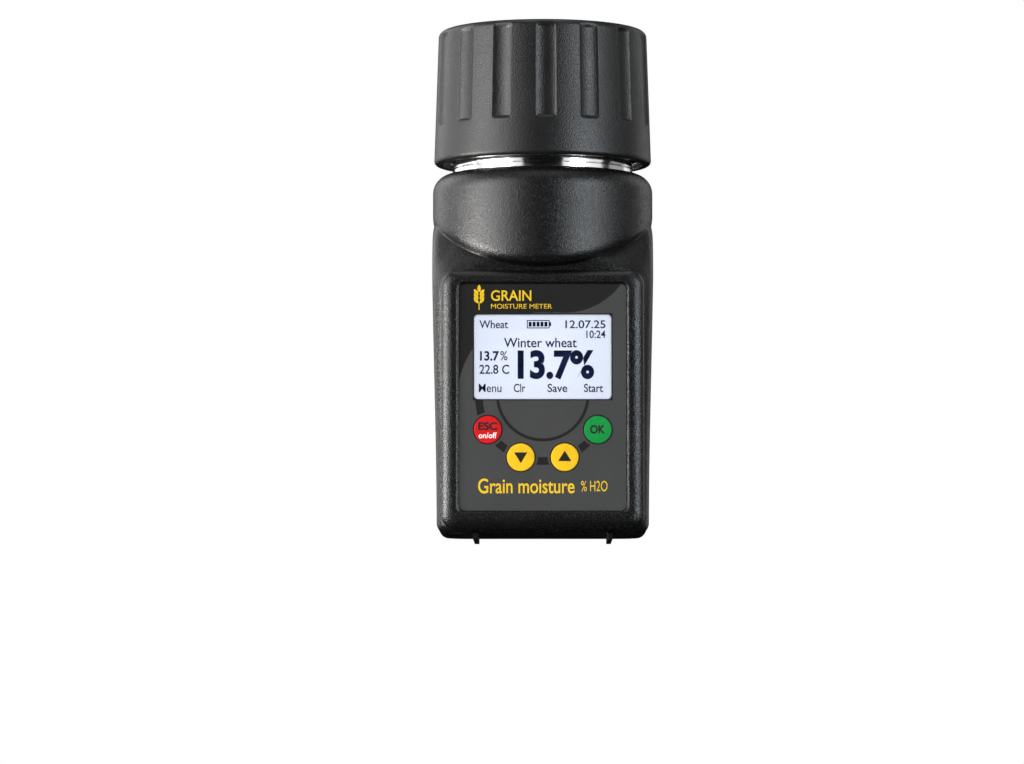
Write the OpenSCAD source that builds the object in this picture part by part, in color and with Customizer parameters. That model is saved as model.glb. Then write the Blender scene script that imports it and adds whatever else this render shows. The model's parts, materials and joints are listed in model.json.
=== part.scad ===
// Hand-held grain moisture meter with a screw cap that packs the sample.
// Millimetres, +Z up, origin on the floor under the barrel's axis. The display faces -Y.

/* [Case] */
// Diameter of the round upper part of the case
barrel_d = 75; // [74:0.5:76]
// Width of the rounded square lower part
lower_w = 72.6; // [72:0.2:73]
// Distance from the axis to the flat front of the case
front_d = 30.5; // [30:0.1:31]
// Distance from the axis to the flat back of the case
back_d = 35.6; // [35:0.1:36]
// Radius of the case's upright corners
corner_r = 9; // [8:0.5:10]
// Thickness of the case's wall
wall = 2.6; // [2.4:0.1:2.8]
// Height of the case's bottom face over the floor
foot_h = 2.2; // [2:0.1:2.4]
// Height of the flat shoulder under the cap
shoulder_z = 125.4; // [125.2:0.1:125.8]
// Radius of the arc that ends the barrel over the display
smile_r = 52; // [50:1:54]
// Height of the arc's lowest point
smile_z = 92.9; // [92.5:0.1:93.5]

/* [Chamber] */
// Outer diameter of the polished collar
collar_d = 61.4; // [61.2:0.1:61.6]
// Height of the collar's upper rim
collar_top = 152.2; // [151.8:0.1:152.4]
// Inner diameter of the measuring chamber
chamber_d = 54; // [53.6:0.1:54.2]
// Height of the chamber's floor
chamber_z = 98; // [97.5:0.5:98.5]
// Rise of the thread in one turn
thread_lead = 9; // [9:1:9]

/* [Cap] */
// Diameter of the cap at its lower rim
cap_d = 74.3; // [74:0.1:74.6]
// Diameter of the cap at its upper rim
cap_top_d = 71; // [70.6:0.1:71.4]
// Height of the cap's lower rim
cap_z = 128.7; // [128.5:0.1:129]
// Height of the cap's top
cap_top = 174.7; // [174.4:0.1:175]
// Number of grip flutes round the cap
flutes = 15; // [12:1:18]
// Width of a grip flute
flute_w = 6.9; // [6:0.1:7.5]
// Depth of a grip flute
flute_depth = 0.9; // [0.6:0.1:1]

/* [Front panel] */
// Width of the front frame
frame_w = 68; // [67:0.5:68.5]
// Height of the front frame
frame_h = 87.2; // [86.8:0.1:87.4]
// Width of the printed label
label_w = 56; // [55.5:0.1:56.5]
// Height of the printed label
label_h = 76; // [75.5:0.1:76.2]
// Width of the display window
window_w = 45.8; // [45:0.1:46]
// Height of the display window
window_h = 28.2; // [28:0.1:28.6]
// Diameter of a key
key_d = 9.2; // [9:0.1:9.3]
// How far a key travels
key_travel = 0.4; // [0.3:0.05:0.4]

/* [Power] */
// Diameter of one battery cell
cell_d = 14.2; // [13.8:0.1:14.4]
// Length of one battery cell without its nub
cell_l = 49; // [48.5:0.5:49]
// Distance between neighbouring cells
cell_pitch = 15.2; // [15.2:0.1:15.4]

/* [Hidden] */
$fn = 64;

// Case
barrel_r = barrel_d / 2;
barrel_in_r = barrel_r - 3;
shoulder_r = 6.5;
square_top = 90;
lower_top = 112;
cavity_floor = 6.8;
barrel_cavity_z = 96;
roof_z = 121.5;
bottom_chamfer = 3;

// Chamber
collar_r = collar_d / 2;
collar_in_r = 28.6;
liner_r = 28.4;
chamber_r = chamber_d / 2;
flange_r = 33.8;
flange_z = 117.3;
flange_top = 120.3;
floor_h = 4;
liner_z = chamber_z - floor_h + 0.04;
board_h = 1.6;
sensor_board_z = 87.4;

// Thread: two starts, so that the pitch is half of the lead
starts = 2;
thread_pitch = thread_lead / starts;
thread_z = 131;
thread_sides = 40;
crest_r = 32;
ring_in_r = 32.4;
ring_out_r = 34;
ring_top = 149;
inner_crest_r = 31.1;

// Cap
cap_r = cap_d / 2;
cap_top_r = cap_top_d / 2;
roof_in_z = cap_top - 3;
flute_turn = 1.9;
flute_z = cap_top - 33.4;
flute_h = 30.8;
cap_lean = atan((cap_r - cap_top_r) / (cap_top - cap_z));
flute_floor = cap_r - (flute_z - cap_z) * tan(cap_lean) - flute_depth;
inner_plate_z = 154.5;
seat_z = 157;
seat_h = 3;
seat_r = 20.7;
tube_r = 21;
post_at = 25.6;
plate_z = 137;
plate_h = 3;
plate_r = 26.6;
stem_r = 4;
clip_z = seat_z + seat_h + 0.25;
spring_r = 9;
wire_r = 0.65;
coils = 5;

// Front panel, as distances in front of the axis
seal_t = 0.4;
panel_back = front_d + seal_t;
panel_plate = 33.3;
label_face = 33.8;
panel_flat = 33.9;
panel_rim = 34.6;
panel_z = 46.5;
label_z = 47.25;
window_z = 60.8;
board_front = 25.6;
board_back = 24;
key_r = key_d / 2;
key_face = 34.1;
key_flange = 32.5;
outer_key = [18.4, 36.4];
inner_key = [7.35, 27.15];
keys = [[-outer_key[0], outer_key[1]], [-inner_key[0], inner_key[1]],
    [inner_key[0], inner_key[1]], outer_key];

// Screws that hold the main board, and screws that hold the front frame
board_post = [27, 29.5];
frame_post = [25.3, 35];

// Power
cell_r = cell_d / 2;
cell_y = 14;
cell_z = 9.6;
case_z = 6.82;
case_top = 63.6;

// Battery cover
hinge_y = -28;
hinge_z = 4.9;
hinge_x = 22.6;
pin_r = 0.8;
cover_w = 61.4;
cover_front = -23.8;
cover_back = 30.7;
cover_t = 2.2;
screw_y = 27;
rib_w = 1.6;
rib_front = -25.6;
rib_back = 20;

case_black = [0.06, 0.06, 0.065];
steel = [0.75, 0.75, 0.77];
board_green = [0.05, 0.3, 0.14];

// A rectangle with round corners, centred
module rounded(w, h, r) {
    offset(r = r) square([w - 2 * r, h - 2 * r], center = true);
}

// Extrudes a shape drawn as seen from the front, between two distances in front of the axis
module facing(near, far) {
    rotate([90, 0, 0]) translate([0, 0, near]) linear_extrude(far - near) children();
}

// A plain ring standing on height z
module ring(outer, inner, z, h) {
    translate([0, 0, z]) difference() {
        cylinder(r = outer, h = h);
        translate([0, 0, -1]) cylinder(r = inner, h = h + 2);
    }
}

// Places copies round the axis
module around(count, r, first = 0) {
    for (i = [0 : count - 1]) rotate([0, 0, first + i * 360 / count]) translate([r, 0, 0]) children();
}

// A pan-head screw with its head's underside at the origin and its shank along +Z
module screw(r, l, head_r, head_h) {
    difference() {
        union() {
            cylinder(r = r, h = l);
            translate([0, 0, -head_h]) cylinder(r = head_r, h = head_h + 0.01);
        }
        for (a = [0, 90]) rotate([0, 0, a]) translate([0, 0, -head_h])
            cube([head_r * 1.1, head_r * 0.26, head_h * 0.9], center = true);
    }
}

// One start of a thread: a ridge from radius root to radius crest, tapering in height
module thread_start(root, crest, root_h, crest_h, z, turns, first) {
    steps = ceil(turns * thread_sides);
    fade = 5;
    function reach(i) = root + (crest - root) * min(1, min(i + 0.4, steps - i + 0.4) / fade);
    function turn(i) = first + 360 * turns * i / steps;
    function rise(i) = z + thread_lead * turns * i / steps;
    function at(r, i, dz) = [r * cos(turn(i)), r * sin(turn(i)), rise(i) + dz];
    points = [for (i = [0 : steps]) each [at(root, i, -root_h / 2), at(reach(i), i, -crest_h / 2),
        at(reach(i), i, crest_h / 2), at(root, i, root_h / 2)]];
    flip = crest < root;
    sides = [for (i = [0 : steps - 1], k = [0 : 3]) each [
        [4 * i + k, 4 * i + (k + 1) % 4, 4 * i + 4 + (k + 1) % 4],
        [4 * i + k, 4 * i + 4 + (k + 1) % 4, 4 * i + 4 + k]]];
    ends = [[3, 2, 1, 0], [4 * steps, 4 * steps + 1, 4 * steps + 2, 4 * steps + 3]];
    faces = concat(sides, ends);
    polyhedron(points, [for (f = faces) flip ? [for (j = [len(f) - 1 : -1 : 0]) f[j]] : f], 4);
}

// ---------- Cap ----------

// The cap's outside, from its rim up, with round edges
module cap_profile() {
    polygon(concat([[0, cap_z], [cap_r - 2.5, cap_z]],
        [for (a = [-75 : 15 : 0]) [cap_r - 2.5 + 2.5 * cos(a), cap_z + 2.5 + 2.5 * sin(a)]],
        [for (a = [15 : 15 : 75]) [cap_top_r - 2 + 2 * cos(a), cap_top - 2 + 2 * sin(a)]],
        [[cap_top_r - 2, cap_top], [0, cap_top]]));
}

module cap_shell() color(case_black) difference() {
    rotate_extrude() cap_profile();
    translate([0, 0, cap_z - 1]) cylinder(r = 34.05, h = ring_top - cap_z + 1.1);
    translate([0, 0, ring_top - 0.1]) cylinder(r = 33.5, h = inner_plate_z + 2 - ring_top + 0.1);
    // The pocket round the guide tube, with three posts for screws, and the tube's own bore
    difference() {
        ring(32.6, tube_r + 2.5, inner_plate_z + 1.9, roof_in_z - inner_plate_z - 1.9);
        around(3, post_at) translate([0, 0, inner_plate_z]) cylinder(r = 2.6, h = 20);
    }
    around(3, post_at) translate([0, 0, inner_plate_z]) cylinder(r = 1.15, h = 7);
    translate([0, 0, inner_plate_z + 1.9])
        cylinder(r = tube_r, h = seat_z + seat_h + 0.3 - inner_plate_z - 1.9);
    translate([0, 0, seat_z + seat_h]) cylinder(r = 18, h = roof_in_z - seat_z - seat_h);
    translate([0, 0, roof_in_z - 1]) cylinder(r = 6.5, h = 5);
    // A shallow dish round the indicator
    translate([0, 0, cap_top - 0.8]) cylinder(r = 25, h = 2);
    for (i = [0 : flutes - 1]) rotate([0, 0, flute_turn - 90 + i * 360 / flutes])
        translate([flute_floor, -flute_w / 2, flute_z]) rotate([0, -cap_lean, 0])
            cube([6, flute_w, flute_h]);
}

module cap_thread_ring() color(steel) ring(ring_out_r, ring_in_r, cap_z + 1.2, ring_top - cap_z - 1.2);

module cap_thread() color(steel) for (s = [0 : starts - 1])
    thread_start(ring_in_r - 0.02, inner_crest_r, 2.3, 1.2, thread_z + thread_pitch / 2, 1.25,
        s * 360 / starts);

module cap_inner_plate() color([0.12, 0.12, 0.13]) difference() {
    ring(33.4, 19, inner_plate_z, 2);
    around(3, post_at) translate([0, 0, inner_plate_z - 1]) cylinder(r = 1.2, h = 4);
}

module cap_seal() color([0.35, 0.35, 0.34]) ring(31.6, 27.6, inner_plate_z - 1.8, 1.78);

module inner_plate_screws() color(steel) around(3, post_at)
    translate([0, 0, inner_plate_z - 0.02]) screw(1.1, 6.5, 1.7, 0.8);

// ---------- Plunger ----------

module spring_seat() color([0.8, 0.8, 0.78]) ring(seat_r, stem_r + 0.08, seat_z, seat_h);

module pressure_plate() color(steel) difference() {
    union() {
        translate([0, 0, plate_z]) cylinder(r = plate_r, h = plate_h);
        translate([0, 0, plate_z + plate_h]) cylinder(r = 6.5, h = 3);
    }
    translate([0, 0, plate_z + 2.4]) cylinder(r = stem_r + 0.02, h = 5);
    translate([0, 0, plate_z - 1]) cylinder(r = 1.6, h = 5);
    translate([0, 0, plate_z - 0.01]) cylinder(r1 = 3.1, r2 = 1.6, h = 1.5);
}

module plunger_stem() color(steel) difference() {
    translate([0, 0, plate_z + 2.42]) cylinder(r = stem_r, h = 166 - plate_z - 2.42);
    ring(stem_r + 1, stem_r - 0.7, clip_z, 1);
    translate([0, 0, plate_z]) cylinder(r = 1.55, h = 10);
}

module stem_clip() color([0.25, 0.25, 0.27]) difference() {
    ring(stem_r + 2.2, stem_r - 0.65, clip_z + 0.1, 0.8);
    translate([0, -(stem_r - 1.4), clip_z - 1]) cube([10, 2 * (stem_r - 1.4), 3]);
}

module plate_screw() color(steel) difference() {
    translate([0, 0, plate_z + 0.02]) union() {
        cylinder(r1 = 3, r2 = 1.5, h = 1.48);
        cylinder(r = 1.5, h = 9.5);
    }
    translate([0, 0, plate_z]) cube([4, 0.8, 1.2], center = true);
}

module indicator_button() color([0.85, 0.08, 0.06]) difference() {
    translate([0, 0, 166.02]) cylinder(r = 6.2, h = 170.7 - 166.02);
    translate([0, 0, 170.2]) cylinder(r = 4.8, h = 2);
}

// The coil's centre line: flat closed ends, open turns between them
function coil_z(t) = spring_low + (spring_high - spring_low)
    * (t < 0.16 ? t / 0.16 * 0.09 : t > 0.84 ? 1 - (1 - t) / 0.16 * 0.09 : 0.09 + (t - 0.16) / 0.68 * 0.82);
spring_low = plate_z + plate_h + wire_r + 0.05;
spring_high = seat_z - wire_r - 0.05;

module pressure_spring() color([0.7, 0.7, 0.72]) {
    steps = coils * 20;
    sides = 8;
    points = [for (i = [0 : steps], k = [0 : sides - 1])
        let (a = 360 * coils * i / steps, b = 360 * k / sides, r = spring_r + wire_r * cos(b))
            [r * cos(a), r * sin(a), coil_z(i / steps) + wire_r * sin(b)]];
    walls = [for (i = [0 : steps - 1], k = [0 : sides - 1]) let (n = (k + 1) % sides) each [
        [sides * i + k, sides * i + n, sides * (i + 1) + n],
        [sides * i + k, sides * (i + 1) + n, sides * (i + 1) + k]]];
    caps = [[for (k = [sides - 1 : -1 : 0]) k], [for (k = [0 : sides - 1]) sides * steps + k]];
    polyhedron(points, concat(walls, caps), 4);
}

// ---------- Case ----------

// The cross-section of the lower case, smaller all round by inset
module lower_outline(inset = 0) {
    translate([0, (back_d - front_d) / 2])
        rounded(lower_w - 2 * inset, front_d + back_d - 2 * inset, corner_r - inset);
}

// The barrel's outside, with its round shoulder
module barrel_profile() {
    polygon(concat([[0, 80], [barrel_r, 80]],
        [for (a = [0 : 7.5 : 90]) [barrel_r - shoulder_r + shoulder_r * cos(a),
            shoulder_z - shoulder_r + shoulder_r * sin(a)]], [[0, shoulder_z]]));
}

// A cylinder along Y whose lowest line is the arc over the display
module smile(r) {
    translate([0, 0, smile_z + smile_r]) rotate([90, 0, 0]) cylinder(r = r, h = 120, center = true);
}

// The part of the case that turns from the rounded square into the barrel's circle
module square_to_circle(inset = 0) hull() {
    translate([0, 0, square_top - 0.1]) linear_extrude(0.1) lower_outline(inset);
    translate([0, 0, lower_top - 0.1]) cylinder(r = barrel_r - 1.3 - inset, h = 0.1);
}

module case_shell() difference() {
    union() {
        intersection() {
            rotate_extrude() barrel_profile();
            smile(smile_r);
        }
        hull() {
            translate([0, 0, foot_h]) linear_extrude(0.1) lower_outline(bottom_chamfer);
            translate([0, 0, foot_h + 0.9]) linear_extrude(0.1) lower_outline(0.9);
            translate([0, 0, foot_h + bottom_chamfer])
                linear_extrude(square_top - foot_h - bottom_chamfer) lower_outline();
        }
        square_to_circle();
    }
    // The space inside, and the neck's hole in the roof
    translate([0, 0, cavity_floor]) linear_extrude(square_top - cavity_floor) lower_outline(wall);
    square_to_circle(wall);
    translate([0, 0, barrel_cavity_z]) cylinder(r = barrel_in_r, h = roof_z - barrel_cavity_z);
    translate([0, 0, 86]) cylinder(r = liner_r + 0.6, h = 12);
    translate([0, 0, roof_z - 1]) cylinder(r = collar_r + 0.05, h = 8);
    around(4, 32.3, 45) translate([0, 0, roof_z - 1]) cylinder(r = 0.9, h = 3.6);
    // The window behind the front frame, with a tab at each corner for a screw
    facing(20, 40) translate([0, panel_z]) {
        square([59, 65], center = true);
        square([42, 78], center = true);
    }
    for (x = [-1, 1], z = [-1, 1]) facing(20, 40)
        translate([x * frame_post[0], panel_z + z * frame_post[1]]) circle(r = 1.1);
    // The battery opening, stepped for the cover
    translate([0, 0, foot_h - 1]) linear_extrude(3.4) translate([0, 3]) rounded(62, 56, 5);
    translate([0, 0, foot_h]) linear_extrude(6) translate([0, 3]) rounded(59, 53, 4);
    for (x = [-1, 1]) {
        translate([x * hinge_x - 1.3, -32, foot_h - 1]) cube([2.6, 9.1, 6]);
        translate([x * hinge_x - 4, hinge_y, hinge_z]) rotate([0, 90, 0]) cylinder(r = pin_r + 0.02, h = 8);
    }
}

// The tab at the back of the battery opening, which the cover's screw enters
module screw_tab() difference() {
    translate([-4.5, 23.6, foot_h + cover_t + 0.22]) cube([9, 6.9, 4.4]);
    translate([0, screw_y, 0]) cylinder(r = 2.1, h = 20);
}

module housing() color(case_black) {
    case_shell();
    screw_tab();
}

module hinge_pins() color(steel) for (x = [-1, 1])
    translate([x * hinge_x - 4, hinge_y, hinge_z]) rotate([0, 90, 0]) cylinder(r = pin_r, h = 8);

// ---------- Chamber ----------

module chamber_collar() color(steel) difference() {
    union() {
        ring(collar_r, collar_in_r, 110, collar_top - 110);
        ring(flange_r, collar_in_r, flange_z, flange_top - flange_z);
    }
    around(4, 32.3, 45) translate([0, 0, flange_z - 1]) cylinder(r = 1.2, h = 6);
    // The groove over the smooth band
    ring(collar_r + 1, collar_r - 0.6, 127, 0.6);
}

module collar_thread() color(steel) for (s = [0 : starts - 1])
    thread_start(collar_r / cos(180 / thread_sides) + 0.02, crest_r, 2.6, 1.5, thread_z, 2,
        s * 360 / starts);

module neck_gasket() color([0.1, 0.1, 0.1]) difference() {
    ring(flange_r, collar_r + 0.1, flange_top + 0.02, roof_z - flange_top - 0.04);
    around(4, 32.3, 45) translate([0, 0, flange_top - 1]) cylinder(r = 1.2, h = 6);
}

module collar_screws() color(steel) around(4, 32.3, 45) translate([0, 0, flange_z - 0.02])
    screw(0.85, 6.5, 1.45, 1.2);

module chamber_liner() color([0.82, 0.82, 0.84])
    ring(liner_r, chamber_r, liner_z, collar_top - liner_z - 0.3);

module chamber_floor() color([0.9, 0.9, 0.88]) difference() {
    union() {
        translate([0, 0, chamber_z - floor_h]) cylinder(r = chamber_r - 0.05, h = floor_h);
        translate([0, 0, chamber_z - floor_h - 1.6]) cylinder(r = 27.5, h = 1.62);
        around(3, 20, 90) translate([0, 0, sensor_board_z + board_h + 0.02]) cylinder(r = 2.6, h = 4);
    }
    // The O-ring's groove, the electrode's and the sensor's holes, and the screws' holes
    ring(chamber_r + 0.2, chamber_r - 1.3, chamber_z - 2.9, 1.7);
    translate([0, 0, chamber_z - 12]) cylinder(r = 2.05, h = 20);
    translate([14, 0, chamber_z - 12]) cylinder(r = 1.25, h = 20);
    around(3, 20, 90) translate([0, 0, sensor_board_z]) cylinder(r = 0.9, h = 7);
}

module floor_seal() color([0.08, 0.08, 0.08]) translate([0, 0, chamber_z - 2.05]) rotate_extrude()
    translate([chamber_r - 0.68, 0]) circle(r = 0.62);

module centre_electrode() color([0.8, 0.8, 0.82]) union() {
    translate([0, 0, chamber_z + 0.02]) cylinder(r = 5, h = 19);
    translate([0, 0, chamber_z + 19.02]) intersection() {
        sphere(r = 5);
        cylinder(r = 6, h = 6);
    }
    translate([0, 0, chamber_z - 9]) cylinder(r = 2, h = 9.1);
}

module electrode_nut() color([0.78, 0.66, 0.3]) difference() {
    translate([0, 0, chamber_z - floor_h - 1.6 - 2.42]) cylinder(r = 4, h = 2.4, $fn = 6);
    translate([0, 0, chamber_z - 12]) cylinder(r = 2.03, h = 20);
}

module temperature_sensor() color(steel) union() {
    translate([14, 0, 91]) cylinder(r = 1.2, h = chamber_z + 2.4 - 91);
    translate([14, 0, chamber_z + 2.4]) sphere(r = 1.2);
}

module sensor_board() color(board_green) difference() {
    translate([0, 0, sensor_board_z]) cylinder(r = 25, h = board_h);
    around(3, 20, 90) translate([0, 0, sensor_board_z - 1]) cylinder(r = 1.2, h = 4);
    translate([0, 0, sensor_board_z - 1]) cylinder(r = 2.4, h = 4);
}

module sensor_board_screws() color(steel) around(3, 20, 90)
    translate([0, 0, sensor_board_z - 0.02]) screw(0.85, 5.4, 1.8, 1.2);

// A strip of thickness t along the points p
module strip(p, t) {
    last = len(p) - 1;
    function along(i) = let (d = p[min(i + 1, last)] - p[max(i - 1, 0)]) d / norm(d);
    function beside(i, off) = p[i] + off * [-along(i)[1], along(i)[0]];
    polygon(concat([for (i = [0 : last]) beside(i, t / 2)], [for (i = [last : -1 : 0]) beside(i, -t / 2)]));
}

// Extrudes a shape drawn in the plane across the case, y then z, from x over width w
module across(x, w) {
    translate([x, 0, 0]) rotate([90, 0, 90]) linear_extrude(w) children();
}

// A flat cable that drops from the sensor board to the main board
module sensor_cable() color([0.75, 0.75, 0.72]) across(-6, 12) strip([[-16, 87.2], [-18.5, 86.9],
    [-20.6, 85.8], [-21.9, 83.8], [-22.6, 81], [-22.8, 78.5], [-22.8, 76.1]], 0.35);

// ---------- Front panel ----------

module front_frame() color([0.05, 0.05, 0.05]) difference() {
    union() {
        difference() {
            facing(panel_back, panel_rim) translate([0, panel_z]) rounded(frame_w, frame_h, 5);
            facing(panel_flat, 40) translate([0, panel_z]) rounded(frame_w - 6, frame_h - 6, 3);
        }
        for (x = [-1, 1], z = [-1, 1]) facing(board_front + 0.02, panel_back + 0.1)
            translate([x * board_post[0], panel_z + z * board_post[1]]) circle(r = 2.3);
    }
    facing(panel_plate, 40) translate([0, label_z]) rounded(label_w + 0.4, label_h + 0.4, 2);
    facing(20, 40) translate([0, window_z]) rounded(window_w + 0.2, window_h + 0.2, 1.3);
    for (k = keys) {
        facing(20, 40) translate(k) circle(r = 2.3);
        facing(key_flange - key_travel - 0.2, 40) translate(k) circle(r = 5.9);
    }
    for (x = [-1, 1], z = [-1, 1]) {
        facing(20, 32.2) translate([x * board_post[0], panel_z + z * board_post[1]]) circle(r = 0.9);
        facing(20, 40) translate([x * frame_post[0], panel_z + z * frame_post[1]]) circle(r = 1.3);
        facing(32.1, 40) translate([x * frame_post[0], panel_z + z * frame_post[1]]) circle(r = 2.3);
    }
}

module frame_gasket() color([0.02, 0.02, 0.02]) difference() {
    facing(front_d + 0.01, panel_back - 0.01) translate([0, panel_z])
        rounded(frame_w - 1.6, frame_h - 1.6, 4.2);
    facing(20, 40) translate([0, panel_z]) rounded(59, 79, 3);
}

module frame_screws() color(steel) for (x = [-1, 1], z = [-1, 1])
    translate([x * frame_post[0], -32.13, panel_z + z * frame_post[1]])
        rotate([-90, 0, 0]) screw(1.05, 4.6, 2.1, 1.1);

module keypad_label() color([0.29, 0.29, 0.28]) difference() {
    facing(panel_plate + 0.01, label_face) translate([0, label_z]) rounded(label_w, label_h, 2);
    facing(20, 40) translate([0, window_z]) rounded(window_w + 0.2, window_h + 0.2, 1.3);
    for (k = keys) facing(20, 40) translate(k) circle(r = key_r + 0.15);
}

module display_window() color([0.8, 0.88, 0.95, 0.4])
    facing(32.6, label_face - 0.05) translate([0, window_z]) rounded(window_w, window_h, 1.25);

module display_glass() color([0.92, 0.94, 0.98])
    facing(29.9, 32.5) translate([0, window_z]) rounded(window_w - 0.4, window_h - 0.4, 1.2);

module display_bezel() color([0.55, 0.55, 0.57]) difference() {
    facing(28.6, 30.7) translate([0, window_z]) rounded(48.5, 34, 1);
    facing(29.8, 40) translate([0, window_z]) square([window_w + 0.2, window_h + 0.2], center = true);
    facing(20, 40) translate([0, window_z]) square([43, 25], center = true);
}

module backlight() color([0.95, 0.95, 0.9])
    facing(board_front + 0.02, 28.58) translate([0, window_z]) rounded(47.5, 32.5, 1);

module main_board() color(board_green) difference() {
    facing(board_back, board_front) translate([0, panel_z]) square([58, 64], center = true);
    for (x = [-1, 1], z = [-1, 1]) facing(20, 40)
        translate([x * board_post[0], panel_z + z * board_post[1]]) circle(r = 1.2);
}

// A box on the back of the main board, w wide and h high, standing t proud of it
module chip(x, z, w, h, t) {
    translate([x - w / 2, -board_back + 0.02, z - h / 2]) cube([w, t, h]);
}

module board_chips() color([0.1, 0.1, 0.11]) {
    chip(-8, 55, 12, 12, 1.6);
    chip(12, 58, 7, 9, 1.4);
    chip(12, 42, 6, 5, 1.4);
    chip(-16, 36, 8, 5, 1.6);
    chip(16, 24, 9, 6, 4.5);
    chip(-14, 22, 10, 4.6, 5);
    chip(0, 74, 14, 4, 2.4);
}

module key_switches() color([0.15, 0.15, 0.16]) for (k = keys) {
    facing(board_front + 0.02, 29.1) translate(k) square([6, 6], center = true);
    facing(29.12, 30) translate(k) circle(r = 1.6);
}

module board_screws() color(steel) for (x = [-1, 1], z = [-1, 1])
    translate([x * board_post[0], -board_back + 0.02, panel_z + z * board_post[1]])
        rotate([90, 0, 0]) screw(0.85, 6.5, 2, 1.1);

// A key: the printed face, the flange behind the label, and the stem that works the switch
module key(k) {
    facing(33, key_face) translate(k) circle(r = key_r);
    facing(key_flange, key_flange + 0.6) translate(k) circle(r = 5.5);
    facing(30.5, 32.6) translate(k) circle(r = 1.9);
}

module key_escape() color([0.9, 0.05, 0.1]) union() key(keys[0]);

module key_down() color([0.98, 0.77, 0.07]) union() key(keys[1]);

module key_up() color([0.98, 0.77, 0.07]) union() key(keys[2]);

module key_ok() color([0.02, 0.58, 0.25]) union() key(keys[3]);

// ---------- Power ----------

cell_x = [for (i = [0 : 3]) (i - 1.5) * cell_pitch];

module battery_case() color([0.13, 0.13, 0.14]) difference() {
    translate([-32.4, cell_y - 9, case_z]) cube([64.8, 18, case_top - case_z]);
    for (x = cell_x) translate([x, cell_y, case_z - 1])
        cylinder(r = cell_r + 0.25, h = case_top - case_z - 0.8);
    translate([-30.4, cell_y - 4, case_z - 1]) cube([60.8, 8, case_top - case_z - 0.8]);
}

module battery_cells() color([0.1, 0.32, 0.2]) for (x = cell_x) {
    up = x < -cell_pitch || (x > 0 && x < cell_pitch);
    translate([x, cell_y, cell_z + (up ? 0 : 1.2)]) cylinder(r = cell_r, h = cell_l);
    translate([x, cell_y, cell_z + (up ? cell_l : 0)]) cylinder(r = 2.7, h = 1.2);
}

module case_contacts() color([0.8, 0.8, 0.78]) for (x = cell_x)
    translate([x, cell_y, cell_z + cell_l + 1.22]) cylinder(r = 4.6, h = 1.6);

// Two wires in one flat sleeve, from the case's top to the main board
module battery_cable() color([0.5, 0.05, 0.05]) across(-24, 3.2) strip([[9, case_top + 0.05],
    [9, case_top + 3], [8, case_top + 4.8], [6, case_top + 5.6], [-17, case_top + 5.6],
    [-19.4, case_top + 4.6], [-20.4, case_top + 2.6], [-20.8, case_top + 0.6], [-21.6, case_top - 0.6],
    [-23.9, case_top - 0.8]], 1.6);

module base_cover() color([0.08, 0.08, 0.085]) difference() {
    union() {
        translate([0, (cover_front + cover_back) / 2, foot_h]) linear_extrude(cover_t)
            rounded(cover_w, cover_back - cover_front, 5.2);
        for (x = [-1, 1]) {
            translate([x * hinge_x - rib_w / 2, rib_front, 0])
                cube([rib_w, rib_back - rib_front, foot_h + 0.1]);
            translate([x * hinge_x - 0.9, hinge_y, hinge_z - 1.6])
                cube([1.8, cover_front - hinge_y + 0.1, 2]);
            translate([x * hinge_x - 0.9, hinge_y, hinge_z])
                rotate([0, 90, 0]) cylinder(r = 1.9, h = 1.8);
        }
    }
    for (x = [-1, 1]) translate([x * hinge_x - 2, hinge_y, hinge_z]) rotate([0, 90, 0])
        cylinder(r = pin_r + 0.06, h = 4);
    translate([0, screw_y, 0]) cylinder(r = 1.7, h = 10);
    translate([0, screw_y, foot_h - 1]) cylinder(r = 3.2, h = 2.2);
    translate([0, screw_y + 3, foot_h]) cube([14, 1.2, 0.8], center = true);
}

module cover_screw() color(steel) translate([0, screw_y, foot_h + 1.17]) screw(1.5, 4.4, 3, 1.1);

module cover_contacts() color([0.8, 0.8, 0.78]) for (s = [-1, 1]) {
    translate([s * cell_pitch - 12, cell_y - 4, foot_h + cover_t + 0.02]) cube([24, 8, 0.5]);
    for (d = [-1, 1]) translate([s * cell_pitch + d * cell_pitch / 2, cell_y, foot_h + cover_t + 0.5])
        cylinder(r1 = 4.4, r2 = 2.2, h = cell_z - foot_h - cover_t - 0.55);
}

module cover_seal() color([0.05, 0.05, 0.05]) translate([0, 0, foot_h + cover_t + 0.02]) difference() {
    linear_extrude(0.14) translate([0, 3.4]) rounded(60.6, 53.8, 4.4);
    translate([0, 0, -1]) linear_extrude(3) translate([0, 3.4]) rounded(58.4, 51.4, 4);
}

cap_shell();
cap_thread_ring();
cap_thread();
cap_inner_plate();
cap_seal();
inner_plate_screws();
spring_seat();
pressure_plate();
plunger_stem();
stem_clip();
plate_screw();
indicator_button();
pressure_spring();
housing();
chamber_collar();
collar_thread();
neck_gasket();
collar_screws();
chamber_liner();
chamber_floor();
floor_seal();
centre_electrode();
electrode_nut();
temperature_sensor();
sensor_board();
sensor_board_screws();
sensor_cable();
front_frame();
frame_gasket();
frame_screws();
keypad_label();
display_window();
display_glass();
display_bezel();
backlight();
main_board();
board_chips();
key_switches();
board_screws();
key_escape();
key_down();
key_up();
key_ok();
battery_case();
battery_cells();
case_contacts();
battery_cable();
hinge_pins();
base_cover();
cover_contacts();
cover_seal();
cover_screw();
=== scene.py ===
import json
import math

import bmesh
import bpy
import numpy as np
from mathutils import Matrix, Vector


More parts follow.
